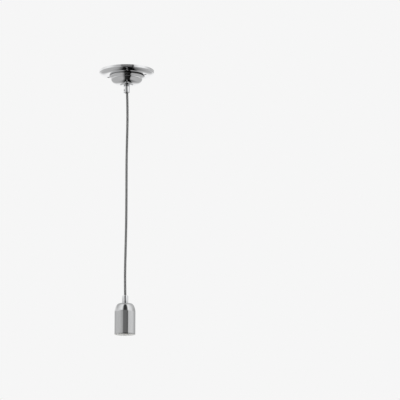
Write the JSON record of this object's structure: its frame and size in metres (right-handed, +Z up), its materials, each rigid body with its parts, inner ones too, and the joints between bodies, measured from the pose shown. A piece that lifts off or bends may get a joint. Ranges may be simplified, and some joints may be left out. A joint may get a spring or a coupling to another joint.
{
  "type": "pendant cord set",
  "caption": "Ceiling pendant cord set: polished round rose, black and white braided flex, cord grips and a metal cup over a screw-in lamp holder.",
  "frame": {"origin": "centre of the ceiling rose's back, on the ceiling plane", "axes": "+Z up into the ceiling, along the axis of the rose, both cord grips and the cup; +X to the right in the picture's view; the flex hangs along -Z"},
  "size_m": [0.1196, 0.12, 0.5815],
  "materials": {
    "polished_chrome": "polished chrome plate",
    "cup_chrome": "chrome plate, slightly softer than the rose",
    "zinc_steel": "bright zinc plate",
    "steel": "plain turned steel",
    "brass": "bright turned brass",
    "nickel_shell": "nickel-plated brass",
    "white_resin": "moulded, white, half gloss",
    "porcelain": "white glaze",
    "white_polyamide": "moulded, natural white",
    "braid": "black and white textile braid in chevrons",
    "brown_pvc": "core insulation",
    "blue_pvc": "core insulation",
    "green_yellow_pvc": "core insulation, green with a yellow stripe"
  },
  "bodies": {
    "root": {"ceiling_rose": "polished_chrome", "upper_cord_grip": "polished_chrome", "upper_grip_screw": "steel", "upper_nipple": "zinc_steel", "rose_washer": "steel", "rose_earth_tag": "zinc_steel", "rose_lock_nut": "zinc_steel", "rose_earth_screw": "brass", "terminal_block": "white_polyamide", "block_tube_1": "brass", "block_tube_2": "brass", "block_screw_1": "zinc_steel", "block_screw_2": "zinc_steel", "block_screw_3": "zinc_steel", "block_screw_4": "zinc_steel", "rose_live_core": "brown_pvc", "rose_neutral_core": "blue_pvc", "rose_earth_core": "green_yellow_pvc", "cord": "braid", "lower_cord_grip": "polished_chrome", "lower_grip_screw": "steel", "lower_nipple": "zinc_steel", "lamp_cup": "cup_chrome", "cup_washer": "steel", "cup_lock_nut": "zinc_steel", "holder_cap": "white_resin", "holder_bush": "zinc_steel", "holder_earth_screw": "brass", "holder_core": "porcelain", "live_terminal": "brass", "neutral_terminal": "brass", "live_clamp_screw": "zinc_steel", "neutral_clamp_screw": "zinc_steel", "centre_contact": "brass", "contact_rivet": "brass", "screw_shell": "nickel_shell", "shell_rivet": "brass", "holder_skirt": "white_resin", "holder_live_core": "brown_pvc", "holder_neutral_core": "blue_pvc", "holder_earth_core": "green_yellow_pvc"}
  },
  "joints": []
}
